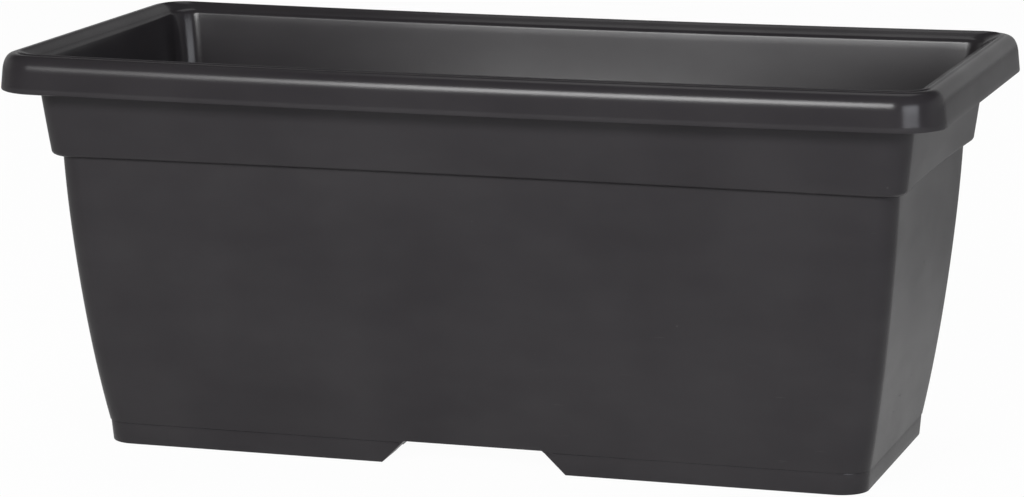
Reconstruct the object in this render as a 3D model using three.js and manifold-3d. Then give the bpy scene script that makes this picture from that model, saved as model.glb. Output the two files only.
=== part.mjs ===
// Window box planter: an injection-moulded trough with a rolled rim, a stepped band
// under it, bowed walls and two feet, and the four plugs that close its drain holes.
// Millimetres, +Z up. X runs along the trough, Y from front to back, and the origin is
// on the ground under the middle.

import * as THREE from 'three';
import { mergeVertices } from 'three/addons/utils/BufferGeometryUtils.js';
import Module from 'manifold-3d';

const wasm = await Module();
wasm.setup();

// ---------------------------------------------------------------- driving dimensions

const LENGTH = 800;
const DEPTH = 386;
const HEIGHT = 341;
const WALL = 3;

// Every "inset" is measured inwards from the outermost outline of the rim.
const RIM_CORNER_RADIUS = 38;
const WALL_CORNER_RADIUS = 23;
const CORNER_STEPS = 8;

const SKIRT_BOTTOM = 309;       // the rim's free lower edge
const SKIRT_TOP = 329.5;        // where the skirt starts to roll over
const SKIRT_DRAFT = 2;
const CREST_INSET = 14.8;       // outer side of the narrow land at the highest point
const CREST_LAND = 2;
const FUNNEL_INSET = 28.1;      // corner between the slope into the trough and its wall
const FUNNEL_BOTTOM = 334.4;
const FUNNEL_ROUNDING = 4;
const ROLL_STEPS = 7;

const BAND_TOP_INSET = 25.8;
const BAND_BOTTOM_INSET = 33.8;
const BAND_TOP = 328.5;
const STEP_HEIGHT = 251;        // underside of the band
const STEP_ROUNDING = 4.5;

const WALL_TOP_INSET = 41;
const WALL_CURVE_INSET = 46;    // control point of the wall's bow
const WALL_CURVE_HEIGHT = 135;
const CREASE_INSET = 68.1;      // the wall meets the upright foot band here
const CREASE_HEIGHT = 18.7;
const FOOT_INSET = 70;
const WALL_STEPS = 8;

const TUNNEL_BOTTOM = 160;      // width of the gap between the feet, on the ground
const TUNNEL_TOP = 117;
const TUNNEL_HEIGHT = 20;

const FOOT_RECESS = 5;          // the underside stands on a ring around this recess
const FOOT_RING = 8;
const FLOOR_TOP = FOOT_RECESS + WALL;
const FLOOR_FILLET = 5;
const DRAIN_GAP = 24;           // openings from each recess into the tunnel
const DRAIN_GAP_PITCH = 70;

const GUSSET_PITCH = 95;
const GUSSET_THICKNESS = 2.4;
const GUSSET_BOTTOM = 311.5;

const HOLE_RADIUS = 8.3;
const BOSS_RADIUS = 13;
const BOSS_DROP = 1.5;
const PLUG_INNER_X = 110;
const PLUG_OUTER_X = 300;
const PLUG_GAP = 0.3;           // between the plug's flange and the floor
const ROUND_STEPS = 32;

const OVERLAP = 1;              // how far a cutting tool runs past the face it cuts

// ------------------------------------------------------------------------- materials

const ANTHRACITE = new THREE.MeshStandardMaterial({
  name: 'anthracite_plastic', color: 0x3b393b, roughness: 0.5, metalness: 0,
});
const PLUG_BLACK = new THREE.MeshStandardMaterial({
  name: 'plug_plastic', color: 0x2c2b2d, roughness: 0.55, metalness: 0,
});

// ------------------------------------------------------------------- solids and cuts

/** A geometry as a solid that booleans can use, with its faces pointing out. */
function solid(geometry) {
  const bare = geometry.clone();
  bare.deleteAttribute('normal');
  bare.deleteAttribute('uv');
  const merged = mergeVertices(bare, 1e-4);
  const triVerts = Uint32Array.from(fullTriangles(merged.index.array));
  const vertProperties = Float32Array.from(merged.attributes.position.array);
  if (signedVolume(vertProperties, triVerts) < 0) triVerts.reverse();
  return new wasm.Manifold(new wasm.Mesh({ numProp: 3, vertProperties, triVerts }));
}

/** The triangles that still have three corners once shared points are merged. */
function fullTriangles(indices) {
  const kept = [];
  for (let i = 0; i < indices.length; i += 3) {
    const [a, b, c] = indices.slice(i, i + 3);
    if (a !== b && b !== c && c !== a) kept.push(a, b, c);
  }
  return kept;
}

function signedVolume(positions, indices) {
  const corners = [new THREE.Vector3(), new THREE.Vector3(), new THREE.Vector3()];
  let volume = 0;
  for (let i = 0; i < indices.length; i += 3) {
    corners.forEach((corner, k) => corner.fromArray(positions, indices[i + k] * 3));
    volume += corners[0].dot(corners[1].cross(corners[2])) / 6;
  }
  return volume;
}

function geometryOf(manifold) {
  const { vertProperties, triVerts } = manifold.getMesh();
  const geometry = new THREE.BufferGeometry();
  geometry.setAttribute('position', new THREE.BufferAttribute(vertProperties, 3));
  geometry.setIndex(new THREE.BufferAttribute(triVerts, 1));
  return geometry;
}

function box(x0, x1, y0, y1, z0, z1) {
  const geometry = new THREE.BoxGeometry(x1 - x0, y1 - y0, z1 - z0);
  return geometry.translate((x0 + x1) / 2, (y0 + y1) / 2, (z0 + z1) / 2);
}

function cylinder(radius, x, z0, z1) {
  const geometry = new THREE.CylinderGeometry(radius, radius, z1 - z0, ROUND_STEPS);
  return geometry.rotateX(Math.PI / 2).translate(x, 0, (z0 + z1) / 2);
}

// --------------------------------------------------------------- the trough's section

/**
 * The section is a walk of stations, each an inset and a height. The outside walk rises
 * from the ground into the rim's channel and back down its skirt, and the inside walk
 * goes from the skirt's edge over the crest and down to the floor.
 */
const station = (inset, height) => ({ inset, height });

function curvePoints(curve, steps) {
  return curve.getPoints(steps).map((point) => station(point.x, point.y));
}

/** Part of an ellipse around (inset, height), with its angles in degrees. */
function ellipsePoints(inset, height, radiusX, radiusY, from, to, steps) {
  const angles = [from, to].map(THREE.MathUtils.degToRad);
  const clockwise = to < from;
  return curvePoints(
    new THREE.EllipseCurve(inset, height, radiusX, radiusY, ...angles, clockwise), steps);
}

/** The bowed wall from the crease up to the step, moved inwards by thickness. */
function wallPoints(thickness) {
  return curvePoints(new THREE.QuadraticBezierCurve(
    new THREE.Vector2(CREASE_INSET + thickness, CREASE_HEIGHT),
    new THREE.Vector2(WALL_CURVE_INSET + thickness, WALL_CURVE_HEIGHT),
    new THREE.Vector2(WALL_TOP_INSET + thickness, STEP_HEIGHT),
  ), WALL_STEPS);
}

function bandBottomPoints(thickness) {
  const inset = BAND_BOTTOM_INSET + thickness + STEP_ROUNDING;
  const height = STEP_HEIGHT + thickness + STEP_ROUNDING;
  return ellipsePoints(inset, height, STEP_ROUNDING, STEP_ROUNDING, 270, 180, 3);
}

/** The roll of the rim from the skirt up to the crest, moved in by thickness. */
function rollPoints(thickness) {
  const radiusX = CREST_INSET - SKIRT_DRAFT - thickness;
  const radiusY = HEIGHT - SKIRT_TOP - thickness;
  return ellipsePoints(CREST_INSET, SKIRT_TOP, radiusX, radiusY, 180, 90, ROLL_STEPS);
}

/** The direction of the slope from the crest into the trough. */
function funnelSlope() {
  return new THREE.Vector2(
    FUNNEL_INSET - CREST_INSET - CREST_LAND, FUNNEL_BOTTOM - HEIGHT).normalize();
}

/** The rounded foot of that slope, where it turns down into the trough's wall. */
function funnelFootPoints() {
  const corner = new THREE.Vector2(FUNNEL_INSET, FUNNEL_BOTTOM);
  const wall = new THREE.Vector2(BAND_TOP_INSET + WALL, BAND_TOP);
  const down = wall.sub(corner).setLength(FUNNEL_ROUNDING);
  return curvePoints(new THREE.QuadraticBezierCurve(
    corner.clone().addScaledVector(funnelSlope(), -FUNNEL_ROUNDING),
    corner,
    corner.clone().add(down),
  ), 3);
}

/** The underside of the slope between the crest and the trough's wall. */
function funnelUnderside() {
  const slope = funnelSlope();
  const inset = FUNNEL_INSET + slope.y * WALL;
  const height = FUNNEL_BOTTOM - slope.x * WALL;
  return station(inset, height);
}

function outsideWalk() {
  return [
    station(FOOT_INSET, 0),
    ...wallPoints(0),
    ...bandBottomPoints(0),
    station(BAND_TOP_INSET, BAND_TOP),
    funnelUnderside(),
    ...rollPoints(WALL).reverse(),
    station(WALL, SKIRT_BOTTOM + OVERLAP),
    station(WALL / 2, SKIRT_BOTTOM),
  ];
}

function insideWalk() {
  const footWall = FOOT_INSET + WALL;
  return [
    station(0, SKIRT_BOTTOM + OVERLAP),
    ...rollPoints(0),
    station(CREST_INSET + CREST_LAND, HEIGHT),
    ...funnelFootPoints(),
    station(BAND_TOP_INSET + WALL, BAND_TOP),
    ...bandBottomPoints(WALL).reverse(),
    station(WALL_TOP_INSET + WALL / 2, STEP_HEIGHT + WALL),
    ...wallPoints(WALL).reverse(),
    station(footWall, FLOOR_TOP + FLOOR_FILLET),
    ...ellipsePoints(footWall + FLOOR_FILLET, FLOOR_TOP + FLOOR_FILLET,
      FLOOR_FILLET, FLOOR_FILLET, 180, 270, 3).slice(1),
  ];
}

/** One level outline of the trough: a rounded rectangle, anticlockwise from above. */
function outline({ inset, height }, wallRadius) {
  const radius = Math.max(RIM_CORNER_RADIUS - inset, wallRadius);
  const x = LENGTH / 2 - inset - radius;
  const y = DEPTH / 2 - inset - radius;
  const centres = [[x, y], [-x, y], [-x, -y], [x, -y]];
  const points = [];
  centres.forEach(([centreX, centreY], corner) => {
    for (let i = 0; i <= CORNER_STEPS; i += 1) {
      const angle = (corner + i / CORNER_STEPS) * Math.PI / 2;
      points.push(centreX + radius * Math.cos(angle),
        centreY + radius * Math.sin(angle), height);
    }
  });
  return points;
}

/** A closed solid through level outlines, capped across the first and the last. */
function loft(outlines) {
  const size = outlines[0].length / 3;
  const indices = [];
  for (let level = 0; level < outlines.length - 1; level += 1) {
    for (let i = 0; i < size; i += 1) {
      const a = level * size + i;
      const b = level * size + (i + 1) % size;
      indices.push(a, b, b + size, a, b + size, a + size);
    }
  }
  const last = (outlines.length - 1) * size;
  for (let i = 1; i < size - 1; i += 1) {
    indices.push(0, i + 1, i);
    indices.push(last, last + i, last + i + 1);
  }
  const geometry = new THREE.BufferGeometry();
  geometry.setAttribute('position', new THREE.Float32BufferAttribute(outlines.flat(), 3));
  geometry.setIndex(indices);
  return geometry;
}

function moulding() {
  const outside = outsideWalk().map((at) => outline(at, WALL_CORNER_RADIUS));
  const inside = insideWalk().map((at) => outline(at, WALL_CORNER_RADIUS - WALL));
  return solid(loft([...outside, ...inside]));
}

// ------------------------------------------------------------- what is under the rim

/** How far the band leans inwards over a drop below its top. */
function bandLean(drop) {
  const height = BAND_TOP - STEP_HEIGHT - STEP_ROUNDING;
  return (BAND_BOTTOM_INSET - BAND_TOP_INSET) * drop / height;
}

/** One web between the skirt and the band, in the plane of its own section. */
function gussetShape() {
  const funnel = funnelUnderside();
  const band = BAND_TOP_INSET + WALL / 2;
  const walk = [
    station(WALL / 2, GUSSET_BOTTOM + WALL),
    ...rollPoints(WALL / 2),
    station((funnel.inset + FUNNEL_INSET) / 2, (funnel.height + FUNNEL_BOTTOM) / 2),
    station(band, BAND_TOP),
    station(band + bandLean(BAND_TOP - GUSSET_BOTTOM), GUSSET_BOTTOM),
    station(2 * WALL, GUSSET_BOTTOM),
  ];
  return new THREE.Shape(walk.map((at) => new THREE.Vector2(at.inset, at.height)));
}

/** A gusset at a place along one side, turned by quarter turns to face out of it. */
function gusset(along, halfWidth, quarterTurns) {
  const geometry = new THREE.ExtrudeGeometry(gussetShape(),
    { depth: GUSSET_THICKNESS, bevelEnabled: false });
  geometry.rotateX(Math.PI / 2);
  geometry.translate(-halfWidth, along + GUSSET_THICKNESS / 2, 0);
  return solid(geometry.rotateZ(quarterTurns * Math.PI / 2));
}

function gussets() {
  const webs = [];
  for (const side of [0, 2]) {
    for (const place of [-1.5, -0.5, 0.5, 1.5]) {
      webs.push(gusset(place * GUSSET_PITCH, LENGTH / 2, side));
    }
  }
  for (const side of [1, 3]) {
    for (const place of [-3, -2, -1, 0, 1, 2, 3]) {
      webs.push(gusset(place * GUSSET_PITCH, DEPTH / 2, side));
    }
  }
  return webs;
}

// --------------------------------------------------------------- the feet and floor

/** The gap between the feet, grown by a thickness, from a height up to its top. */
function tunnel(grow, run, bottom) {
  const top = TUNNEL_HEIGHT + grow;
  const lean = (TUNNEL_BOTTOM - TUNNEL_TOP) / 2 / TUNNEL_HEIGHT;
  const halfWidth = (height) => (
    TUNNEL_BOTTOM / 2 + grow * Math.hypot(1, lean) - lean * height);
  const shape = new THREE.Shape([
    new THREE.Vector2(-halfWidth(bottom), bottom),
    new THREE.Vector2(halfWidth(bottom), bottom),
    new THREE.Vector2(halfWidth(top), top),
    new THREE.Vector2(-halfWidth(top), top),
  ]);
  const geometry = new THREE.ExtrudeGeometry(shape, { depth: run, bevelEnabled: false });
  return solid(geometry.rotateX(Math.PI / 2).translate(0, run / 2, 0));
}

/** The floor over the tunnel rises inside the trough, as one wall's thickness. */
function raisedFloor() {
  const inside = DEPTH - 2 * (CREASE_INSET + WALL / 2);
  return tunnel(WALL, inside, FLOOR_TOP - OVERLAP);
}

function roundedRectangle(x0, x1, y0, y1, radius) {
  const shape = new THREE.Shape();
  shape.absarc(x1 - radius, y1 - radius, radius, 0, Math.PI / 2);
  shape.absarc(x0 + radius, y1 - radius, radius, Math.PI / 2, Math.PI);
  shape.absarc(x0 + radius, y0 + radius, radius, Math.PI, 1.5 * Math.PI);
  shape.absarc(x1 - radius, y0 + radius, radius, 1.5 * Math.PI, 2 * Math.PI);
  return shape;
}

/** A stretch of X from near to far on one side of the middle, lowest first. */
const span = (side, near, far) => [side * near, side * far].sort((a, b) => a - b);

/** The recess under the foot on one side (-1 or 1), and its ways into the tunnel. */
function footRecess(side) {
  const near = TUNNEL_BOTTOM / 2 + FOOT_RING;
  const far = LENGTH / 2 - FOOT_INSET - FOOT_RING;
  const half = DEPTH / 2 - FOOT_INSET - FOOT_RING;
  const shape = roundedRectangle(...span(side, near, far), -half, half,
    WALL_CORNER_RADIUS - FOOT_RING);
  const panel = new THREE.ExtrudeGeometry(shape,
    { depth: FOOT_RECESS + OVERLAP, bevelEnabled: false, curveSegments: 4 });
  let cut = solid(panel.translate(0, 0, -OVERLAP));
  for (const place of [-1, 0, 1]) {
    const y = place * DRAIN_GAP_PITCH;
    const gap = box(...span(side, TUNNEL_TOP / 2, near + FOOT_RING),
      y - DRAIN_GAP / 2, y + DRAIN_GAP / 2, -OVERLAP, FOOT_RECESS);
    cut = cut.add(solid(gap));
  }
  return cut;
}

const PLUG_PLACES = [-PLUG_OUTER_X, -PLUG_INNER_X, PLUG_INNER_X, PLUG_OUTER_X];

function troughShell() {
  let shell = moulding().add(raisedFloor()).subtract(tunnel(0, DEPTH, -OVERLAP));
  for (const side of [-1, 1]) shell = shell.subtract(footRecess(side));
  for (const x of PLUG_PLACES) {
    const bossBottom = FOOT_RECESS - BOSS_DROP;
    shell = shell.add(solid(cylinder(BOSS_RADIUS, x, bossBottom, FLOOR_TOP - OVERLAP)));
    shell = shell.subtract(solid(cylinder(HOLE_RADIUS, x, 0, FLOOR_TOP + OVERLAP)));
  }
  for (const web of gussets()) shell = shell.add(web);
  return geometryOf(shell);
}

// ------------------------------------------------------------------- the drain plugs

const FLANGE_RADIUS = 13;
const FLANGE_THICKNESS = 2.2;
const SHANK_RADIUS = 8;
const SHANK_LENGTH = 6.8;
const SHANK_TAPER = 0.4;
const SHANK_WALL = 2.2;
const TAB_WIDTH = 17;
const TAB_HEIGHT = 7;
const TAB_THICKNESS = 3.2;

/** A flanged cup, open below, that turns about its own axis. */
function plugBody() {
  const hollow = SHANK_RADIUS - SHANK_WALL;
  const profile = [
    [0, 0.4],
    [hollow, 0.4],
    [hollow - SHANK_TAPER, -SHANK_LENGTH],
    [SHANK_RADIUS - 1.2, -SHANK_LENGTH],
    [SHANK_RADIUS - SHANK_TAPER, -SHANK_LENGTH + 1.2],
    [SHANK_RADIUS, 0],
    [FLANGE_RADIUS, 0],
    [FLANGE_RADIUS, FLANGE_THICKNESS - 1],
    [FLANGE_RADIUS - 1, FLANGE_THICKNESS],
    [0, FLANGE_THICKNESS],
  ];
  const points = profile.map(([radius, height]) => new THREE.Vector2(radius, height));
  return solid(new THREE.LatheGeometry(points, ROUND_STEPS).rotateX(Math.PI / 2));
}

/** The upright tab that the fingers pull, with round shoulders and a waist. */
function pullTab() {
  const half = TAB_WIDTH / 2;
  const shoulder = TAB_HEIGHT / 2;
  const shape = new THREE.Shape();
  shape.moveTo(-half + 1.5, -OVERLAP);
  shape.lineTo(half - 1.5, -OVERLAP);
  shape.lineTo(half - 1.5, 0);
  shape.lineTo(half, TAB_HEIGHT - shoulder);
  shape.absarc(half - shoulder, TAB_HEIGHT - shoulder, shoulder, 0, Math.PI / 2);
  shape.absarc(-half + shoulder, TAB_HEIGHT - shoulder, shoulder, Math.PI / 2, Math.PI);
  shape.lineTo(-half + 1.5, 0);
  const geometry = new THREE.ExtrudeGeometry(shape,
    { depth: TAB_THICKNESS, bevelEnabled: false, curveSegments: 5 });
  geometry.rotateX(Math.PI / 2);
  return solid(geometry.translate(0, TAB_THICKNESS / 2, FLANGE_THICKNESS));
}

function drainPlug() {
  return geometryOf(plugBody().add(pullTab()));
}

// --------------------------------------------------------------------------- assembly

const planter = new THREE.Group();
planter.name = 'window_box_planter';

const trough = new THREE.Mesh(troughShell(), ANTHRACITE);
trough.name = 'trough_shell';
planter.add(trough);

const plugGeometry = drainPlug();
PLUG_PLACES.forEach((x, index) => {
  const plug = new THREE.Mesh(plugGeometry, PLUG_BLACK);
  plug.name = `drain_plug_${index + 1}`;
  plug.position.set(x, 0, FLOOR_TOP + PLUG_GAP);
  plug.rotation.z = Math.PI / 2;
  planter.add(plug);
});

export default planter;
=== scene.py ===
"""Window box planter: the looks of a moulded plastic trough and its four drain plugs.

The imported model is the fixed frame. The trough is lofted again from its section, finer
than the solid, with the small radii of its mould, the sag of its long rims and the inward
bow of its walls. Lengths in this file are millimetres until a mesh is finished.
"""

from __future__ import annotations

import logging
import math
from collections.abc import Callable, Iterable, Sequence
from dataclasses import dataclass, field
from enum import Enum

import bmesh
import bpy
from mathutils import Matrix, Vector

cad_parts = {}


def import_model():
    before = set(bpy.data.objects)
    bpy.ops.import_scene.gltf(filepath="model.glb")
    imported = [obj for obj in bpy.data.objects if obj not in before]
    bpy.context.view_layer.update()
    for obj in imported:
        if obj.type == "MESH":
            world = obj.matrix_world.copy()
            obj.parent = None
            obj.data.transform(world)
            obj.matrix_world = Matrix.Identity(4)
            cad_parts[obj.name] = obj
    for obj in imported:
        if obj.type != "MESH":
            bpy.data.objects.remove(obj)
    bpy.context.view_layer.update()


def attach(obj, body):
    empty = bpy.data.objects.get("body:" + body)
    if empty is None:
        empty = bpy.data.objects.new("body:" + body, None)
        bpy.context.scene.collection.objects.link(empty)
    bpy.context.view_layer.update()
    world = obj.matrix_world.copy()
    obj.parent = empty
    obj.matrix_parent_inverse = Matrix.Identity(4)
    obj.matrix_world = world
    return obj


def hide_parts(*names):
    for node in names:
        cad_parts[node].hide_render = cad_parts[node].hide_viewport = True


LOG = logging.getLogger("planter")

MM = 0.001
TINY = 1e-6
ROUND_STEPS = 64
IMAGE_WIDTH = 1024
IMAGE_HEIGHT = 497

Pair = tuple[float, float]
Colour = tuple[float, float, float]


# ---------------------------------------------------------------------------- mesh tools


class Cut(Enum):
    """How one solid changes another."""

    ADD = "UNION"
    REMOVE = "DIFFERENCE"


def smoothstep(low: float, high: float, value: float) -> float:
    """A soft rise from 0 at low to 1 at high."""
    t = min(max((value - low) / (high - low), 0.0), 1.0)
    return t * t * (3.0 - 2.0 * t)


def bezier(points: Sequence[Pair], steps: int) -> list[Pair]:
    """Points along a Bezier curve of any degree.

    Args:
        points: The control points, the ends among them.
        steps: How many stretches the curve is cut into.

    Returns:
        The points in order, both ends included.
    """
    degree = len(points) - 1
    result = []
    for step in range(steps + 1):
        t = step / steps
        shares = [math.comb(degree, k) * t ** k * (1 - t) ** (degree - k)
                  for k in range(degree + 1)]
        result.append(tuple(sum(s * p[axis] for s, p in zip(shares, points))
                            for axis in (0, 1)))
    return result


def arc(centre: Pair, radii: Pair,
        start: float, end: float, steps: int) -> list[Pair]:
    """Points along part of an upright ellipse.

    Args:
        centre: Its middle.
        radii: Its half sizes along the two axes.
        start: The first angle in degrees.
        end: The last angle in degrees.
        steps: How many stretches the arc is cut into.

    Returns:
        The points in order, both ends included.
    """
    result = []
    for step in range(steps + 1):
        angle = math.radians(start + (end - start) * step / steps)
        result.append((centre[0] + radii[0] * math.cos(angle),
                       centre[1] + radii[1] * math.sin(angle)))
    return result


def straight(start: Pair, end: Pair, steps: int) -> list[Pair]:
    """Points that divide a line evenly, without its two ends."""
    return [(start[0] + (end[0] - start[0]) * k / steps,
             start[1] + (end[1] - start[1]) * k / steps) for k in range(1, steps)]


def link(name: str, bm: bmesh.types.BMesh) -> bpy.types.Object:
    """Turns a bmesh in millimetres into an object in metres.

    Args:
        name: The object's and the mesh's name.
        bm: The mesh, which is freed.

    Returns:
        The new object, linked to the scene.
    """
    bmesh.ops.scale(bm, vec=(MM, MM, MM), verts=bm.verts)
    bmesh.ops.recalc_face_normals(bm, faces=bm.faces)
    mesh = bpy.data.meshes.new(name)
    bm.to_mesh(mesh)
    bm.free()
    made = bpy.data.objects.new(name, mesh)
    bpy.context.scene.collection.objects.link(made)
    return made


def carve(body: bpy.types.Object,
          tools: Iterable[tuple[Cut, bpy.types.Object]]) -> None:
    """Adds and removes solids, in order, and deletes them.

    Args:
        body: The object whose mesh is replaced by the result.
        tools: Each solid with what it does.
    """
    tools = list(tools)
    for way, tool in tools:
        change = body.modifiers.new(tool.name, "BOOLEAN")
        change.operation = way.value
        change.solver = "EXACT"
        change.object = tool
    graph = bpy.context.evaluated_depsgraph_get()
    result = bpy.data.meshes.new_from_object(body.evaluated_get(graph))
    result.name = body.data.name
    body.modifiers.clear()
    body.data = result
    for _, tool in tools:
        bpy.data.objects.remove(tool, do_unlink=True)


def shade(body: bpy.types.Object, angle: float) -> None:
    """Smooths the faces and leaves the sharper edges crisp.

    Args:
        body: The object.
        angle: The angle in degrees from which an edge counts as sharp.
    """
    mesh = body.data
    mesh.polygons.foreach_set("use_smooth", [True] * len(mesh.polygons))
    mesh.set_sharp_from_angle(angle=math.radians(angle))


def prism(shape: Sequence[Pair], half: float, flare: float = 0.0,
          bevel: float = 0.0, bevel_above: float = 0.0) -> bmesh.types.BMesh:
    """A solid with an outline in X and Z, running along Y across the middle.

    Args:
        shape: The outline's corners as X and Z.
        half: How far it reaches to both sides.
        flare: How much further out each side stands in the middle than at the ends.
        bevel: The radius given to its long edges.
        bevel_above: Only long edges higher than this get the radius.

    Returns:
        The solid as a bmesh.
    """
    bm = bmesh.new()
    corners = [bm.verts.new((x, -half, z)) for x, z in shape]
    face = bmesh.ops.contextual_create(bm, geom=corners)["faces"]
    # A flared solid runs in two stretches, out to its middle and back again.
    for widen in (flare, -flare) if flare else (0.0,):
        run = bmesh.ops.extrude_face_region(bm, geom=face)["geom"]
        face = [item for item in run if isinstance(item, bmesh.types.BMFace)]
        moved = [item for item in run if isinstance(item, bmesh.types.BMVert)]
        for vert in moved:
            vert.co.x += math.copysign(widen, vert.co.x)
            vert.co.y += half if flare else 2 * half
    if flare:
        # The face between the two stretches lies inside the solid.
        bmesh.ops.delete(bm, geom=[f for f in bm.faces if len(f.verts) == len(shape)
                                   and abs(f.calc_center_median().y) < half / 2
                                   and abs(f.normal.y) > 0.9], context="FACES_ONLY")
    if bevel:
        long_edges = [edge for edge in bm.edges
                      if abs(edge.verts[0].co.y - edge.verts[1].co.y) > TINY
                      and min(v.co.z for v in edge.verts) > bevel_above]
        bmesh.ops.bevel(bm, geom=long_edges, affect="EDGES", offset=bevel, segments=4,
                        profile=0.5, material=-1)
    return bm


def cylinder(radius: float, x: float, bottom: float, top: float) -> bmesh.types.BMesh:
    """An upright closed cylinder.

    Args:
        radius: Its radius.
        x: Its place along the trough.
        bottom: The height of its lower end.
        top: The height of its upper end.

    Returns:
        The solid as a bmesh.
    """
    bm = bmesh.new()
    bmesh.ops.create_cone(bm, cap_ends=True, segments=ROUND_STEPS, radius1=radius,
                          radius2=radius, depth=top - bottom,
                          matrix=Matrix.Translation((x, 0, (bottom + top) / 2)))
    return bm


def block(x: Pair, y: Pair, z: Pair) -> bmesh.types.BMesh:
    """A box between two places along each axis.

    Args:
        x: Its two ends along the trough.
        y: Its two ends across the trough.
        z: Its lower and its upper end.

    Returns:
        The solid as a bmesh.
    """
    bm = bmesh.new()
    bmesh.ops.create_cube(bm, size=1.0)
    bmesh.ops.scale(bm, vec=[end - start for start, end in (x, y, z)], verts=bm.verts)
    bmesh.ops.translate(bm, vec=[(start + end) / 2 for start, end in (x, y, z)],
                        verts=bm.verts)
    return bm


# ---------------------------------------------------------------------------- the trough


@dataclass(frozen=True)
class Station:
    """One level of the section: how far in, how high, and the radius of its corners."""

    inset: float
    height: float
    radius: float


@dataclass(frozen=True)
class RingPoint:
    """A place round the plan, between a point on one corner's arc and one on another's."""

    corner: tuple[int, int]
    turn: float
    next_corner: tuple[int, int]
    next_turn: float
    share: float


@dataclass
class Plan:
    """The level outline of the trough: a rectangle with four round corners."""

    length: float = 800.0
    depth: float = 386.0
    corner_steps: int = 16
    long_steps: int = 40
    short_steps: int = 20

    def points(self) -> list[RingPoint]:
        """Divides one ring, anticlockwise from the right end.

        Returns:
            The places of its points.
        """
        corners = [(1, 1), (-1, 1), (-1, -1), (1, -1)]
        quarter = math.pi / 2
        ring = []
        for index, corner in enumerate(corners):
            following = corners[(index + 1) % len(corners)]
            for step in range(self.corner_steps + 1):
                turn = (index + step / self.corner_steps) * quarter
                ring.append(RingPoint(corner, turn, corner, turn, 0.0))
            steps = self.long_steps if corner[1] == following[1] else self.short_steps
            for step in range(1, steps):
                turn = (index + 1) * quarter
                ring.append(RingPoint(corner, turn, following, turn, step / steps))
        return ring

    def place(self, point: RingPoint, at: Station) -> Vector:
        """Finds where a ring's point stands at one station.

        Args:
            point: The place round the plan.
            at: The level of the section.

        Returns:
            The point in millimetres.
        """
        def on_arc(corner: tuple[int, int], turn: float) -> Vector:
            """A point on one corner's arc."""
            return Vector((corner[0] * x + at.radius * math.cos(turn),
                           corner[1] * y + at.radius * math.sin(turn), at.height))
        x = self.length / 2 - at.inset - at.radius
        y = self.depth / 2 - at.inset - at.radius
        return on_arc(point.corner, point.turn).lerp(
            on_arc(point.next_corner, point.next_turn), point.share)


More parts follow.
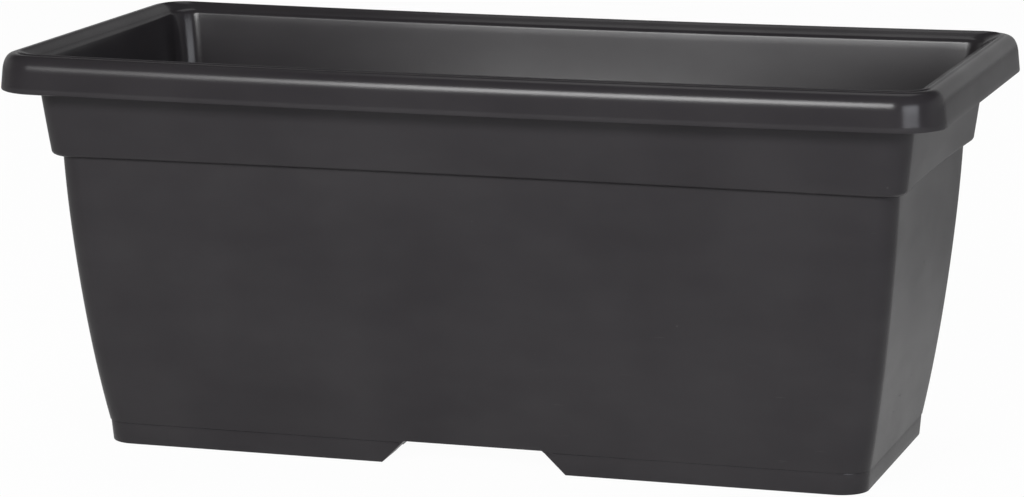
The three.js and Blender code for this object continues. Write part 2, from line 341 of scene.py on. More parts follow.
@dataclass
class Section:
    """The trough's section, from the foot up to the rim and down the inside.

    Every inset is measured inwards from the outermost outline of the rim.
    """

    height: float = 341.0
    wall: float = 3.0
    rim_radius: float = 38.0
    wall_radius: float = 23.0
    skirt_top: Pair = (1.6, 326.5)
    roll_outer: Pair = (2.6, 334.0)
    roll_inner: Pair = (5.5, 340.0)
    groove: Pair = (12.4, 340.2)
    lip: tuple[Pair, ...] = (
        (13.3, 340.02), (13.9, 340.12), (14.3, 340.6), (14.7, 340.9), (15.3, 341.0),
        (15.9, 340.95), (16.4, 340.7), (16.8, 340.3))
    funnel: Pair = (28.1, 334.4)
    funnel_rounding: float = 3.0
    band_draw: float = 1.6
    band_steps: int = 12
    band_top: Pair = (25.8, 328.5)
    band_bottom: float = 33.8
    step: float = 251.0
    step_rounding: float = 4.5
    wall_top: float = 41.0
    wall_bow: Pair = (46.0, 135.0)
    crease: Pair = (68.1, 18.7)
    foot: float = 70.0
    foot_step: float = 0.6
    floor: float = 8.0
    floor_fillet: float = 5.0
    foot_edge: tuple[Pair, ...] = ((1.0, 0.0), (0.3, 0.25), (0.0, 0.9))
    foot_ledge: tuple[Pair, ...] = ((0.0, -0.8), (0.1, -0.45))
    skirt_edge: tuple[Pair, ...] = (
        (3.0, 310.6), (2.6, 309.5), (1.5, 309.0), (0.4, 309.5), (0.0, 310.6))
    channel: Pair = (14.8, 329.5)
    channel_radii: Pair = (9.8, 8.5)
    ledge_edge: tuple[Pair, ...] = ((42.4, 2.7), (43.4, 1.9), (43.9, 0.9))

    def outside(self) -> list[Station]:
        """Walks from the ground, up under the rim, to the lowest line of the skirt.

        Returns:
            The stations in order.
        """
        radius = self.step_rounding
        foot_edge = [(self.foot + inset, height) for inset, height in self.foot_edge]
        foot_ledge = [(self.crease[0] + self.foot_step + inset, self.crease[1] + height)
                      for inset, height in self.foot_ledge]
        roll = arc(self.channel, self.channel_radii, 90, 180, 8)
        walk = [
            *foot_edge,
            *straight(foot_edge[-1], foot_ledge[0], 3),
            *foot_ledge,
            *self._wall_line(0.0),
            *arc((self.band_bottom + radius, self.step + radius), (radius, radius),
                 270, 180, 6),
            *straight((self.band_bottom, self.step + radius), self.band_top, 7),
            self.band_top, self._funnel_underside(), *roll,
            *straight(roll[-1], self.skirt_edge[0], 3),
            *self.skirt_edge[:3],
        ]
        return self._stations(walk, self.wall_radius)

    def inside(self) -> list[Station]:
        """Walks from the skirt's lowest line, over the crest, down to the floor.

        Returns:
            The stations in order.
        """
        radius = self.step_rounding
        ledge = self._ledge()
        foot = self.foot + self.wall
        walk = [
            *self.skirt_edge[3:],
            *straight(self.skirt_edge[-1], self.skirt_top, 4),
            *bezier((self.skirt_top, self.roll_outer, self.roll_inner, self.groove), 14),
            *self.lip,
            *self._funnel_foot(),
            *self._inner_band()[1:-1],
            *arc((ledge[0] + radius, ledge[1]), (radius, radius), 180, 270, 6),
            *[(inset, self.step + height) for inset, height in self.ledge_edge],
            *reversed(self._wall_line(self.wall)),
            *arc((foot + self.floor_fillet, self.floor + self.floor_fillet),
                 (self.floor_fillet, self.floor_fillet), 180, 270, 6),
        ]
        return self._stations(walk, self.wall_radius - self.wall)

    def _stations(self, walk: Sequence[Pair], least: float) -> list[Station]:
        """Gives each point of a walk the radius of its corners."""
        return [Station(inset, height, max(self.rim_radius - inset, least))
                for inset, height in walk]

    def _wall_line(self, thickness: float) -> list[Pair]:
        """The bowed wall from the crease up to the step, moved in by a thickness."""
        line = bezier((self.crease, self.wall_bow, (self.wall_top, self.step)), 18)
        return [(inset + thickness, height) for inset, height in line]

    def _slope(self) -> Vector:
        """The direction of the slope from the crest into the trough."""
        return (Vector(self.funnel) - Vector((self.lip[-1][0], self.height))).normalized()

    def _ledge(self) -> Pair:
        """Where the inside of the band meets the round above the inner ledge."""
        return (self.band_bottom + self.wall, self.step + self.wall + self.step_rounding)

    def _inner_band(self) -> list[Pair]:
        """Draws the inside of the band, steeper with depth.

        Returns:
            The points from the slope's foot to the ledge.
        """
        ledge = self._ledge()
        reach, rise = ledge[0] - self.funnel[0], self.funnel[1] - ledge[1]
        top = 1.0 - self.funnel_rounding / rise
        shares = [top * (1.0 - step / self.band_steps)
                  for step in range(self.band_steps + 1)]
        return [(ledge[0] - reach * share ** self.band_draw, ledge[1] + rise * share)
                for share in shares]

    def _funnel_foot(self) -> list[Pair]:
        """Draws the slope into the trough and the round where it turns down.

        Returns:
            The points after the lip's last.
        """
        corner = Vector(self.funnel)
        start = corner - self._slope() * self.funnel_rounding
        end = self._inner_band()[0]
        return [*straight(self.lip[-1], tuple(start), 3),
                *bezier((tuple(start), tuple(corner), end), 7)]

    def _funnel_underside(self) -> Pair:
        """The corner under the slope, one wall's thickness from it."""
        slope = self._slope()
        return (self.funnel[0] + slope.y * self.wall, self.funnel[1] - slope.x * self.wall)


@dataclass
class Warp:
    """What cooling does to a long moulding: sagging rims and walls drawn inwards."""

    half_length: float = 400.0
    half_depth: float = 193.0
    sag: float = 2.3
    bow: float = 7.0
    bow_width: float = 150.0
    end_bow: float = 3.5
    end_bow_length: float = 357.0
    end_bow_depth: float = 154.0
    foot: float = 18.7
    full: float = 190.0
    step: float = 251.0
    lean_top: float = 336.0
    lean_draw: float = 2.5
    rim: float = 331.0
    skirt: Pair = (21.0, 25.5)

    def move(self, point: Vector) -> Vector:
        """Finds where a point of the straight trough ends up.

        The walls bow most between the height where the bow is full and the step, and
        the band leans back out to the rim, whose skirt stays straight.

        Args:
            point: The point in millimetres.

        Returns:
            The moved point in millimetres.
        """
        middle = max(1.0 - (point.x / self.half_length) ** 2, 0.0)
        end_middle = max(1.0 - (point.y / self.end_bow_depth) ** 2, 0.0)
        towards_rim = smoothstep(self.step, self.rim, point.z)
        lean = min(max((self.lean_top - point.z) / (self.lean_top - self.step), 0.0), 1.0)
        bowed = smoothstep(self.foot, self.full, point.z) * lean ** self.lean_draw
        inset = min(self.half_length - abs(point.x), self.half_depth - abs(point.y))
        bowed *= smoothstep(*self.skirt, inset)
        return Vector((
            point.x - self.end_bow * end_middle * bowed * point.x / self.end_bow_length,
            point.y - self.bow * middle * bowed * point.y / self.bow_width,
            point.z - self.sag * middle * towards_rim))


@dataclass
class Gussets:
    """The upright webs in the channel under the rim."""

    thickness: float = 2.4
    pitch: float = 95.0
    long_places: tuple[int, ...] = (-3, -2, -1, 0, 1, 2, 3)
    short_places: tuple[float, ...] = (-1.5, -0.5, 0.5, 1.5)
    outline: tuple[Pair, ...] = (
        (1.8, 314.5), (3.4, 327.5), (4.3, 332.4), (6.6, 336.6), (10.2, 338.7),
        (15.5, 339.4), (20.5, 337.0), (27.3, 333.2), (27.3, 328.5), (29.2, 311.5),
        (6.4, 311.5))

    def build(self, plan: Plan) -> bpy.types.Object:
        """Makes every web as one mesh of separate solids.

        Args:
            plan: The trough's outline, which the webs stand in from.

        Returns:
            An object to be joined to the trough.
        """
        bm = bmesh.new()
        for side in (0, 2):
            for place in self.short_places:
                self._web(bm, place * self.pitch, plan.length / 2, side)
        for side in (1, 3):
            for place in self.long_places:
                self._web(bm, place * self.pitch, plan.depth / 2, side)
        return link("gussets", bm)

    def _web(self, bm: bmesh.types.BMesh, along: float, reach: float, side: int) -> None:
        """Adds one web: its outline, extruded by its thickness and turned to its side.

        Args:
            bm: The mesh that it is added to.
            along: Its place along its side.
            reach: How far the rim's outline is from the middle on that side.
            side: The side, in quarter turns from the right end.
        """
        half = self.thickness / 2
        corners = [bm.verts.new((reach - inset, along - half, height))
                   for inset, height in self.outline]
        face = bmesh.ops.contextual_create(bm, geom=corners)["faces"]
        run = bmesh.ops.extrude_face_region(bm, geom=face)["geom"]
        moved = [item for item in run if isinstance(item, bmesh.types.BMVert)]
        bmesh.ops.translate(bm, vec=(0, self.thickness, 0), verts=moved)
        bmesh.ops.rotate(bm, cent=(0, 0, 0), verts=corners + moved,
                         matrix=Matrix.Rotation(side * math.pi / 2, 3, "Z"))


@dataclass
class Feet:
    """The gap between the two feet, the raised floor over it and what is underneath."""

    tunnel_bottom: float = 160.0
    tunnel_top: float = 120.0
    tunnel_height: float = 20.0
    flare: float = 6.0
    wall: float = 3.0
    foot_inset: float = 70.0
    ring: float = 8.0
    recess: float = 5.0
    recess_corner: float = 15.0
    recess_edge: float = 1.5
    floor: float = 8.0
    floor_edge: float = 3.0
    floor_edge_above: float = 12.0
    gap: float = 24.0
    gap_pitch: float = 70.0
    gap_places: tuple[int, ...] = (-1, 0, 1)
    hole: float = 8.3
    boss: float = 13.0
    boss_drop: float = 1.5
    bite: float = 0.4
    overlap: float = 1.0
    plug_places: tuple[float, ...] = (-300.0, -110.0, 110.0, 300.0)

    def tools(self, plan: Plan) -> list[tuple[Cut, bpy.types.Object]]:
        """The solids that shape the feet and the floor, in the order they are used.

        Args:
            plan: The trough's outline.

        Returns:
            Each solid with what it does to the trough.
        """
        inner = plan.depth / 2 - self.foot_inset + self.bite
        result = [
            (Cut.ADD, link("raised_floor", prism(
                self._tunnel(self.wall, self.floor - self.overlap), inner, self.flare,
                self.floor_edge, self.floor_edge_above))),
            (Cut.REMOVE, link("tunnel", prism(
                self._tunnel(0.0, -2 * self.overlap), inner + self.wall, self.flare))),
        ]
        for side in (-1, 1):
            result.append((Cut.REMOVE, link("recess", self._recess(plan, side))))
            for place in self.gap_places:
                result.append((Cut.REMOVE, link("gap", self._gap(side, place))))
        for x in self.plug_places:
            result.append((Cut.ADD, link("boss", cylinder(
                self.boss, x, self.recess - self.boss_drop, self.floor - self.overlap))))
            result.append((Cut.REMOVE, link("hole", cylinder(
                self.hole, x, 0.0, self.floor + self.overlap))))
        return result

    def _tunnel(self, grow: float, bottom: float) -> list[Pair]:
        """Draws the gap between the feet, with its leaning sides.

        Args:
            grow: How much thicker it is made all round.
            bottom: The height of its lower end.

        Returns:
            The corners as X and Z.
        """
        lean = (self.tunnel_bottom - self.tunnel_top) / 2 / self.tunnel_height
        top = self.tunnel_height + grow

        def half(height: float) -> float:
            """Half the width at a height."""
            return self.tunnel_bottom / 2 + grow * math.hypot(1, lean) - lean * height
        return [(-half(bottom), bottom), (half(bottom), bottom),
                (half(top), top), (-half(top), top)]

    def _recess(self, plan: Plan, side: int) -> bmesh.types.BMesh:
        """Makes the shallow recess under one foot, with round corners.

        Args:
            plan: The trough's outline.
            side: -1 for the left foot, 1 for the right one.

        Returns:
            The solid to be removed.
        """
        near = self.tunnel_bottom / 2 + self.ring
        far = plan.length / 2 - self.foot_inset - self.ring
        half = plan.depth / 2 - self.foot_inset - self.ring
        bm = block(self._ends(side, near, far), (-half, half),
                   (-2 * self.overlap, self.recess))
        upright = [edge for edge in bm.edges
                   if abs(edge.verts[0].co.z - edge.verts[1].co.z) > TINY]
        bmesh.ops.bevel(bm, geom=upright, affect="EDGES", offset=self.recess_corner,
                        segments=8, profile=0.5, material=-1)
        top = [edge for edge in bm.edges
               if min(v.co.z for v in edge.verts) > self.recess - self.bite]
        bmesh.ops.bevel(bm, geom=top, affect="EDGES", offset=self.recess_edge,
                        segments=3, profile=0.5, material=-1)
        return bm

    def _gap(self, side: int, place: int) -> bmesh.types.BMesh:
        """Makes one way from a foot's recess into the gap between the feet.

        Args:
            side: -1 for the left foot, 1 for the right one.
            place: Its place across the trough, in steps of the pitch.

        Returns:
            The solid to be removed.
        """
        near, far = self.tunnel_top / 2, self.tunnel_bottom / 2 + 2 * self.ring
        y = place * self.gap_pitch
        return block(self._ends(side, near, far), (y - self.gap / 2, y + self.gap / 2),
                     (-2 * self.overlap, self.recess))

    def _ends(self, side: int, near: float, far: float) -> Pair:
        """The two ends along X of what lies on one side, in order."""
        return (near, far) if side > 0 else (-far, -near)


@dataclass
class Trough:
    """The one-piece moulded trough."""

    plan: Plan = field(default_factory=Plan)
    section: Section = field(default_factory=Section)
    warp: Warp = field(default_factory=Warp)
    gussets: Gussets = field(default_factory=Gussets)
    feet: Feet = field(default_factory=Feet)
    crisp_angle: float = 32.0

    def build(self, finish: PlasticFinish) -> bpy.types.Object:
        """Makes the trough, carves it, warps it and dresses it.

        Args:
            finish: The plastic it is moulded in.

        Returns:
            The finished piece, riding on its body.
        """
        trough = link("planter_trough", self._loft())
        carve(trough, [*self.feet.tools(self.plan),
                       (Cut.ADD, self.gussets.build(self.plan))])
        self._settle(trough)
        shade(trough, self.crisp_angle)
        trough.data.materials.clear()
        trough.data.materials.append(finish.material())
        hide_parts("trough_shell")
        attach(trough, "trough")
        return trough

    def _loft(self) -> bmesh.types.BMesh:
        """Walks one ring of edges through every station of the section.

        Returns:
            The closed and straight trough, in millimetres.
        """
        ring = self.plan.points()
        stations = [*self.section.outside(), *self.section.inside()]
        bm = bmesh.new()
        place = bm.verts.layers.int.new("place")
        start = bmesh.ops.create_circle(bm, segments=len(ring), radius=1.0)["verts"]
        for index, vert in enumerate(start):
            vert[place] = index
            vert.co = self.plan.place(ring[index], stations[0])
        edges = list(bm.edges)
        bmesh.ops.contextual_create(bm, geom=edges)
        for at in stations[1:]:
            made = bmesh.ops.extrude_edge_only(bm, edges=edges)["geom"]
            for item in made:
                if isinstance(item, bmesh.types.BMVert):
                    item.co = self.plan.place(ring[item[place]], at)
            moved = {item for item in made if isinstance(item, bmesh.types.BMVert)}
            edges = [item for item in made if isinstance(item, bmesh.types.BMEdge)
                     and moved.issuperset(item.verts)]
        bmesh.ops.contextual_create(bm, geom=edges)
        return bm

    def _settle(self, trough: bpy.types.Object) -> None:
        """Moves every point of the straight trough to where cooling leaves it.

        Args:
            trough: The trough, in metres.
        """
        bm = bmesh.new()
        bm.from_mesh(trough.data)
        bmesh.ops.remove_doubles(bm, verts=bm.verts, dist=TINY)
        for vert in bm.verts:
            vert.co = self.warp.move(vert.co / MM) * MM
        bm.to_mesh(trough.data)
        bm.free()


# ----------------------------------------------------------------------- the drain plugs


@dataclass
class DrainPlug:
    """A pull-out plug: a flanged cup, open below, with an upright tab for the fingers."""

    floor: float = 8.3
    flange_radius: float = 13.0
    flange_height: float = 2.2
    shank_radius: float = 8.0
    shank_length: float = 6.8
    shank_wall: float = 2.2
    taper: float = 0.4
    tab_width: float = 17.0
    tab_height: float = 7.0
    tab_thickness: float = 3.2
    tab_edge: float = 0.6
    crisp_angle: float = 35.0

    def build(self, number: int, x: float, finish: PlasticFinish) -> bpy.types.Object:
        """Makes one plug at its place along the trough.

        Args:
            number: Its number from the left, from 1.
            x: Its place along the trough.
            finish: The plastic it is moulded in.

        Returns:
            The finished piece, riding on its body.
        """
        plug = link(f"pull_plug_{number}", self._cup())
        carve(plug, [(Cut.ADD, link("tab", self._tab()))])
        plug.data.transform(Matrix.Translation((x * MM, 0, self.floor * MM))
                            @ Matrix.Rotation(math.pi / 2, 4, "Z"))
        shade(plug, self.crisp_angle)
        plug.data.materials.clear()
        plug.data.materials.append(finish.material())
        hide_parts(f"drain_plug_{number}")
        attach(plug, f"plug_{number}")
        return plug

    def _cup(self) -> bmesh.types.BMesh:
        """Spins the cup and its flange from half a section.

        Returns:
            The cup, with the flange's lower face at height 0.
        """
        hollow = self.shank_radius - self.shank_wall
        profile = [
            # Down the inside of the cup and round its free edge.
            (0.0, 0.4), (hollow - 0.8, 0.4), (hollow - 0.2, 0.2), (hollow, -0.6),
            (hollow - self.taper, -self.shank_length + 0.4),
            (hollow - self.taper + 0.4, -self.shank_length),
            (self.shank_radius - 1.4, -self.shank_length),
            (self.shank_radius - 0.7, -self.shank_length + 0.5),
            (self.shank_radius - self.taper, -self.shank_length + 1.3),
            (self.shank_radius, 0.0),
            # Round the flange and over the ring on its top.
            (self.flange_radius - 0.3, 0.0),
            *arc((self.flange_radius - 0.3, 0.3), (0.3, 0.3), 270, 360, 2)[1:],
            *arc((self.flange_radius - 1.0, self.flange_height - 1.0), (1.0, 1.0),
                 0, 90, 4),
            (self.flange_radius - 3.0, self.flange_height),
            (self.flange_radius - 3.4, self.flange_height - 0.3),
            (self.flange_radius - 4.0, self.flange_height - 0.3),
            (self.flange_radius - 4.4, self.flange_height),
            (0.0, self.flange_height),
        ]
        bm = bmesh.new()
        verts = [bm.verts.new((radius, 0, height)) for radius, height in profile]
        edges = [bm.edges.new(pair) for pair in zip(verts, verts[1:])]
        bmesh.ops.spin(bm, geom=verts + edges, cent=(0, 0, 0), axis=(0, 0, 1),
                       angle=math.tau, steps=ROUND_STEPS, use_merge=True)
        bmesh.ops.remove_doubles(bm, verts=bm.verts, dist=1e-4)
        return bm

    def _tab(self) -> bmesh.types.BMesh:
        """Makes the tab that stands up from the flange, with rounded edges.

        Returns:
            The solid, sunk into the flange.
        """
        half = self.tab_width / 2
        shoulder = self.tab_height / 2
        base = self.flange_height
        right = [(half - 1.5, base - 1.0), (half - 1.5, base),
                 (half, base + self.tab_height - shoulder),
                 *arc((half - shoulder, base + self.tab_height - shoulder),
                      (shoulder, shoulder), 0, 90, 8)[1:]]
        shape = [*right, *[(-x, z) for x, z in reversed(right)]]
        bm = prism(shape, self.tab_thickness / 2)
        rim = [edge for edge in bm.edges
               if abs(edge.verts[0].co.y - edge.verts[1].co.y) < TINY
               and max(v.co.z for v in edge.verts) > base - 0.5]
        bmesh.ops.bevel(bm, geom=rim, affect="EDGES", offset=self.tab_edge, segments=3,
                        profile=0.5, material=-1)
        return bm


# -------------------------------------------------------------------------- the finishes


class Value:
    """A socket that can be used in sums, so that shader maths reads as an expression."""

    def __init__(self, shader: Shader, socket: bpy.types.NodeSocket) -> None:
        """Wraps one output socket of a shader's node tree."""
        self.shader = shader
        self.socket = socket

    def _math(self, operation: str, *values: Value | float) -> Value:
        """Adds one Math node."""
        return self.shader.node("ShaderNodeMath", {"operation": operation},
                                dict(enumerate(values)))

    def __add__(self, other: Value | float) -> Value:
        """The sum."""
        return self._math("ADD", self, other)

    def __sub__(self, other: Value | float) -> Value:
        """The difference."""
        return self._math("SUBTRACT", self, other)

    def __mul__(self, other: Value | float) -> Value:
        """The product."""
        return self._math("MULTIPLY", self, other)

    def __rsub__(self, other: Value | float) -> Value:
        """The difference from a number."""
        return self._math("SUBTRACT", other, self)

    def larger(self, other: Value | float) -> Value:
        """The larger of two values."""
        return self._math("MAXIMUM", self, other)

    def ramp(self, low: float, high: float) -> Value:
        """Rises softly from 0 to 1, or falls where high is lower than low.

        Args:
            low: The value that gives 0.
            high: The value that gives 1.

        Returns:
            The share from 0 to 1.
        """
        return self.shader.node(
            "ShaderNodeMapRange", {"interpolation_type": "SMOOTHSTEP"},
            {"Value": self, "From Min": low, "From Max": high})


class Shader:
    """A material or a world, with the few calls that its nodes need."""

    def __init__(self, tree: bpy.types.NodeTree) -> None:
        """Starts from an empty node tree."""
        self.tree = tree
        tree.nodes.clear()

    def node(self, kind: str, settings: dict[str, object] | None = None,
             inputs: dict[str | int, object] | None = None,
             output: str | int = 0) -> Value:
        """Adds a node.

        Args:
            kind: The node's type.
            settings: Its own properties, which are set first.
            inputs: A value or a link for each of its sockets, by name or number.
            output: The output that is wanted, by name or number.

        Returns:
            That output.
        """
        made = self.tree.nodes.new(kind)
        for name, value in (settings or {}).items():
            setattr(made, name, value)
        for name, value in (inputs or {}).items():
            if isinstance(value, Value):
                self.tree.links.new(value.socket, made.inputs[name])
            else:
                made.inputs[name].default_value = value
        return Value(self, made.outputs[output])

    def own(self) -> Value:
        """Where a point is in the object's own coordinates."""
        return self.node("ShaderNodeTexCoord", output="Object")

    def axis(self, vector: Value, name: str) -> Value:
        """One axis of a vector."""
        return self.node("ShaderNodeSeparateXYZ", None, {"Vector": vector}, name)

    def close(self, kind: str, surface: Value) -> None:
        """Adds the tree's output node and links its surface."""
        made = self.tree.nodes.new(kind)
        self.tree.links.new(surface.socket, made.inputs["Surface"])

    def mix(self, factor: Value, first: Value | Colour, second: Value | Colour) -> Value:
        """Mixes two colours.

        Args:
            factor: How much of the second colour is taken, from 0 to 1.
            first: A colour or a link.
            second: A colour or a link.

        Returns:
            The mixed colour.
        """
        def full(colour: Value | Colour) -> object:
            """A colour with its alpha, or the link as it is."""
            return colour if isinstance(colour, Value) else (*colour, 1.0)
        return self.node("ShaderNodeMix", {"data_type": "RGBA"},
                         {0: factor, 6: full(first), 7: full(second)}, 2)

    def stretched(self, scale: Colour, turn: float = 0.0) -> Value:
        """The object's own coordinates, scaled along each axis and turned about Z."""
        return self.node("ShaderNodeMapping", inputs={
            "Vector": self.own(), "Rotation": (0.0, 0.0, turn), "Scale": scale})

    def noise(self, where: Value, scale: float, detail: float = 2.0,
              roughness: float = 0.5) -> Value:
        """Soft noise from 0 to 1."""
        return self.node("ShaderNodeTexNoise", None, {
            "Vector": where, "Scale": scale, "Detail": detail, "Roughness": roughness})


# How fine each pattern of a finish is, in steps per metre.
CLOUD_SCALE = 7.0
FLOW_SCALE = 46.0
FLECK_SCALE = 900.0
RIPPLE_SCALE = 17.0
GRAIN_SCALE = 1300.0
RUB_SCALE = 34.0
WEAR_SCALE = 5.0
SPECK_SCALE = 62.0
CHOICE_SCALE = 41.0
DUST_SCALE = 24.0
EVEN = (1.0, 1.0, 1.0)


@dataclass(frozen=True)
class PlasticFinish:
    """A moulded satin plastic: its tone, its sheen, its grain and its small marks.

    The body is matt and a thin skin over it carries the gloss, as on a moulding that
    comes off polished steel.
    """

    name: str
    deep: Colour
    pale: Colour
    mark: Colour
    dust: Colour
    roughness: float
    roughness_swing: float
    gloss: float
    gloss_swing: float
    skin_roughness: float
    ripple: float
    grain: float
    marks: float

    def material(self) -> bpy.types.Material:
        """Builds the material where it doesn't exist yet.

        Returns:
            The material.
        """
        if self.name in bpy.data.materials:
            return bpy.data.materials[self.name]
        made = bpy.data.materials.new(self.name)
        made.use_nodes = True
        shader = Shader(made.node_tree)
        even = shader.stretched(EVEN)
        clouds = shader.noise(even, CLOUD_SCALE, 4.0, 0.55)
        flow = shader.noise(shader.stretched((0.35, 0.35, 1.0), 0.05), FLOW_SCALE, 3.0)
        fine = shader.noise(even, FLECK_SCALE, 2.0)
        tone = (clouds.ramp(0.3, 0.7) * 0.6 + flow.ramp(0.3, 0.7) * 0.25
                + fine.ramp(0.2, 0.8) * 0.15)
        colour = shader.mix(tone, self.deep, self.pale)
        scuffs = self._scuffs(shader)
        colour = shader.mix(scuffs * self.marks, colour, self.mark)
        settled = self._settled(shader)
        colour = shader.mix(settled, colour, self.dust)
        rough = (clouds * self.roughness_swing + flow * (self.roughness_swing * 0.5)
                 + (self.roughness - self.roughness_swing * 0.75)
                 + scuffs * 0.12 + settled * 0.25)
        skin = ((clouds.ramp(0.3, 0.7) - 0.5) * self.gloss_swing
                + (flow.ramp(0.3, 0.7) - 0.5) * (self.gloss_swing * 0.5)
                + self.gloss - scuffs * (self.gloss * 0.4) - settled * self.gloss)
        bsdf = shader.node("ShaderNodeBsdfPrincipled", None, {
            "Base Color": colour, "Roughness": rough, "Specular IOR Level": 0.0,
            "Coat Weight": skin, "Coat Roughness": self.skin_roughness,
            "Coat IOR": 1.5, "Normal": self._relief(shader, even)})
        shader.close("ShaderNodeOutputMaterial", bsdf)
        return made

    def _relief(self, shader: Shader, even: Value) -> Value:
        """Bumps the surface with the walls' broad ripple and the mould's fine grain.

        Args:
            shader: The material.
            even: The object's own coordinates.

        Returns:
            The bumped normal.
        """
        ripple = shader.noise(even, RIPPLE_SCALE, 1.0)
        broad = shader.node("ShaderNodeBump", None, {
            "Height": ripple, "Strength": 1.0, "Distance": self.ripple * MM})
        grain = shader.noise(even, GRAIN_SCALE, 3.0, 0.6)
        return shader.node("ShaderNodeBump", None, {
            "Height": grain, "Strength": 1.0, "Distance": self.grain * MM,
            "Normal": broad})

    def _scuffs(self, shader: Shader) -> Value:
        """Strews sparse pale rubs and specks.

        Args:
            shader: The material.

        Returns:
            1 on a mark and 0 beside it.
        """
        lines = shader.noise(shader.stretched((1.0, 1.0, 14.0), 0.3), RUB_SCALE, 2.0)
        patch = shader.noise(shader.stretched(EVEN), WEAR_SCALE, 2.0)
        rubs = lines.ramp(0.69, 0.78) * patch.ramp(0.60, 0.70)
        specks = shader.node("ShaderNodeTexVoronoi", None, {
            "Vector": shader.stretched(EVEN), "Scale": SPECK_SCALE})
        chosen = shader.noise(shader.stretched(EVEN, 0.7), CHOICE_SCALE, 0.0)
        return rubs.larger(specks.ramp(0.075, 0.03) * chosen.ramp(0.66, 0.7))

    def _settled(self, shader: Shader) -> Value:
        """Lays a little dust, in patches, on what faces up low inside.

        Args:
            shader: The material.

        Returns:
            How much dust there is, from 0 to 0.5.
        """
        facing = shader.axis(shader.node("ShaderNodeNewGeometry", output="Normal"), "Z")
        height = shader.axis(shader.own(), "Z")
        patches = shader.noise(shader.stretched(EVEN), DUST_SCALE, 5.0, 0.65)
        return (facing.ramp(0.7, 1.0) * height.ramp(0.3, 0.2) * patches.ramp(0.35, 0.75)
                * 0.5)


TROUGH_PLASTIC = PlasticFinish(
    name="satin_anthracite",
    deep=(0.0198, 0.0180, 0.0197),
    pale=(0.0256, 0.0236, 0.0252),
    mark=(0.11, 0.107, 0.105),
    dust=(0.10, 0.095, 0.088),
    roughness=0.55,
    roughness_swing=0.10,
    gloss=0.37,
    gloss_swing=0.05,
    skin_roughness=0.21,
    ripple=0.25,
    grain=0.012,
    marks=0.2,
)

PLUG_PLASTIC = PlasticFinish(
    name="satin_near_black",
    deep=(0.0190, 0.0182, 0.0190),
    pale=(0.0270, 0.0260, 0.0270),
    mark=(0.08, 0.078, 0.076),
    dust=(0.10, 0.095, 0.088),
    roughness=0.6,
    roughness_swing=0.10,
    gloss=0.35,
    gloss_swing=0.05,
    skin_roughness=0.3,
    ripple=0.02,
    grain=0.010,
    marks=0.4,
)


# ---------------------------------------------------------------------------- the studio


@dataclass(frozen=True)
class Lamp:
    """A softbox: its bearing and height in degrees, its size and its power.

    The bearing runs anticlockwise from the trough's right end, so -90 is its front.
    """

    name: str
    bearing: float
    elevation: float
    size: Pair
    power: float
    colour: Colour = (1.0, 1.0, 1.0)
    reach: float = 4.0

    def build(self, aim: Vector) -> None:
        """Adds the lamp to the scene.

        Args:
            aim: The point that it faces.
        """
        data = bpy.data.lights.new(self.name, "AREA")
        data.shape = "RECTANGLE"
        data.size, data.size_y = self.size
        data.energy = self.power
        data.color = self.colour
        made = bpy.data.objects.new(self.name, data)
        bearing, elevation = math.radians(self.bearing), math.radians(self.elevation)
        towards = Vector((math.cos(bearing) * math.cos(elevation),
                          math.sin(bearing) * math.cos(elevation),
                          math.sin(elevation)))
        made.location = aim + towards * self.reach
        made.rotation_euler = (-towards).to_track_quat("-Z", "Y").to_euler()
        bpy.context.scene.collection.objects.link(made)


@dataclass(frozen=True)
class Camera:
    """The photograph's camera, as fitted to the trough's outline."""

    azimuth: float = 17.76
    elevation: float = 11.13
    roll: float = -0.26
    focal: float = 4023.55
    centre: Pair = (478.01, 266.11)
    distance: float = 3.43794
    target: tuple[float, float, float] = (-0.03433, 0.0, 0.1465)

    def build(self) -> None:
        """Adds the camera and makes it the scene's own."""
        azimuth, elevation, roll = map(
            math.radians, (self.azimuth, self.elevation, self.roll))
        forward = Vector((-math.sin(azimuth) * math.cos(elevation),
                          math.cos(azimuth) * math.cos(elevation),
                          -math.sin(elevation)))
        level = Vector((math.cos(azimuth), math.sin(azimuth), 0.0))
        above = level.cross(forward)
        right = math.cos(roll) * level + math.sin(roll) * above
        up = math.cos(roll) * above - math.sin(roll) * level
        place = Vector(self.target) - forward * self.distance
        data = bpy.data.cameras.new("camera")
        data.sensor_width = 36.0
        data.sensor_fit = "HORIZONTAL"
        data.lens = data.sensor_width * self.focal / IMAGE_WIDTH
        data.shift_x = (IMAGE_WIDTH / 2 - self.centre[0]) / IMAGE_WIDTH
        data.shift_y = (self.centre[1] - IMAGE_HEIGHT / 2) / IMAGE_WIDTH
        data.clip_end = 50.0
        made = bpy.data.objects.new("camera", data)
        bpy.context.scene.collection.objects.link(made)
        made.matrix_world = Matrix((
            (right.x, up.x, -forward.x, place.x),
            (right.y, up.y, -forward.y, place.y),
            (right.z, up.z, -forward.z, place.z),
            (0.0, 0.0, 0.0, 1.0)))
        bpy.context.scene.camera = made


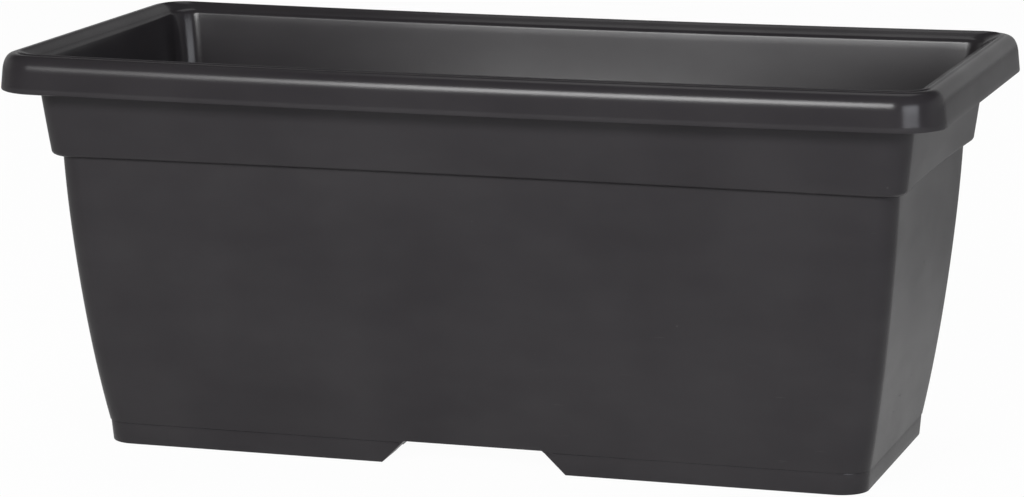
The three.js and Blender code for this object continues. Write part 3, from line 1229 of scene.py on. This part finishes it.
@dataclass(frozen=True)
class Studio:
    """A plain pale floor that runs into a white background, and soft lamps."""

    ambient: float = 0.05
    behind: float = 0.55
    floor_size: float = 60.0
    floor_white: float = 0.97
    floor_front: Pair = (-0.75, -0.3)
    floor_far: Pair = (1.1, 0.3)
    floor_least: float = 0.45
    dome_height: Pair = (0.62, 0.22)
    dome_depth: Pair = (-0.5, 0.3)
    aim: tuple[float, float, float] = (0.0, 0.0, 0.3)
    lamps: tuple[Lamp, ...] = (
        Lamp("front_box", -101.5, 22.0, (1.36, 0.8), 101.0),
        Lamp("left_box", -119.0, 21.5, (1.1, 0.8), 14.0),
        Lamp("corner_box", -50.0, 11.0, (2.5, 1.4), 94.0, (0.92, 0.94, 1.0)),
        Lamp("top_box", 90.0, 76.0, (2.8, 2.2), 40.0),
    )

    def build(self) -> None:
        """Adds the floor, the world and the lamps."""
        self._floor()
        self._world()
        for lamp in self.lamps:
            lamp.build(Vector(self.aim))
        bpy.context.scene.view_settings.view_transform = "Standard"

    def _seen(self, shader: Shader) -> tuple[Value, Value]:
        """Tells the camera's own rays from those that show in a surface.

        Args:
            shader: The material or the world.

        Returns:
            1 for the camera's own rays, and 1 for those that show in a surface.
        """
        camera, glossy, through = [
            shader.node("ShaderNodeLightPath", output=name) for name in
            ("Is Camera Ray", "Is Glossy Ray", "Is Transmission Ray")]
        return camera, glossy.larger(through)

    def _floor(self) -> None:
        """A wide floor, nearly white to the camera, that keeps the soft shadow."""
        bm = bmesh.new()
        bmesh.ops.create_grid(bm, x_segments=1, y_segments=1,
                              size=self.floor_size * 1000 / 2)
        floor = link("studio_floor", bm)
        made = bpy.data.materials.new("studio_floor")
        made.use_nodes = True
        shader = Shader(made.node_tree)
        matt = shader.node("ShaderNodeBsdfDiffuse", None,
                           {"Color": (0.86, 0.86, 0.855, 1.0)})
        white = shader.node("ShaderNodeEmission", None,
                            {"Color": (1.0, 1.0, 1.0, 1.0), "Strength": 1.0})
        camera, mirrored = self._seen(shader)
        depth = shader.axis(shader.own(), "Y")
        away = shader.node("ShaderNodeVectorMath", {"operation": "LENGTH"}, {
            0: shader.stretched((0.7, 1.0, 1.0))}, "Value")
        near = depth.ramp(*self.floor_front) * (
            away.ramp(*self.floor_far) * (1.0 - self.floor_least) + self.floor_least)
        both = shader.node("ShaderNodeMixShader", None, {
            0: camera.larger(mirrored * near) * self.floor_white, 1: matt, 2: white})
        below = shader.node("ShaderNodeNewGeometry", output="Backfacing")
        clear = shader.node("ShaderNodeBsdfTransparent")
        shader.close("ShaderNodeOutputMaterial", shader.node(
            "ShaderNodeMixShader", None, {0: below, 1: both, 2: clear}))
        floor.data.materials.append(made)

    def _world(self) -> None:
        """White to the camera, white behind the trough in a surface, and a dim light."""
        world = bpy.data.worlds.new("studio")
        world.use_nodes = True
        bpy.context.scene.world = world
        shader = Shader(world.node_tree)
        towards = shader.node("ShaderNodeTexCoord", output="Generated")
        depth, height = shader.axis(towards, "Y"), shader.axis(towards, "Z")
        dome = height.ramp(*self.dome_height) * depth.ramp(*self.dome_depth)
        camera, mirrored = self._seen(shader)
        strength = camera + (1.0 - camera) * (
            mirrored * dome
            + (1.0 - mirrored) * (depth.ramp(0.0, 0.6) * self.behind + self.ambient))
        light = shader.node("ShaderNodeBackground", None,
                            {"Color": (1.0, 1.0, 1.0, 1.0), "Strength": strength})
        shader.close("ShaderNodeOutputWorld", light)


# ------------------------------------------------------------------------------ the scene


def main() -> None:
    """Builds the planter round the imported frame."""
    logging.basicConfig(level=logging.INFO, format="%(name)s: %(message)s")
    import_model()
    Camera().build()
    Studio().build()
    trough = Trough()
    made = trough.build(TROUGH_PLASTIC)
    LOG.info("%s: %d faces", made.name, len(made.data.polygons))
    for number, x in enumerate(trough.feet.plug_places, start=1):
        plug = DrainPlug().build(number, x, PLUG_PLASTIC)
        LOG.info("%s: %d faces", plug.name, len(plug.data.polygons))


if __name__ == "__main__":
    main()
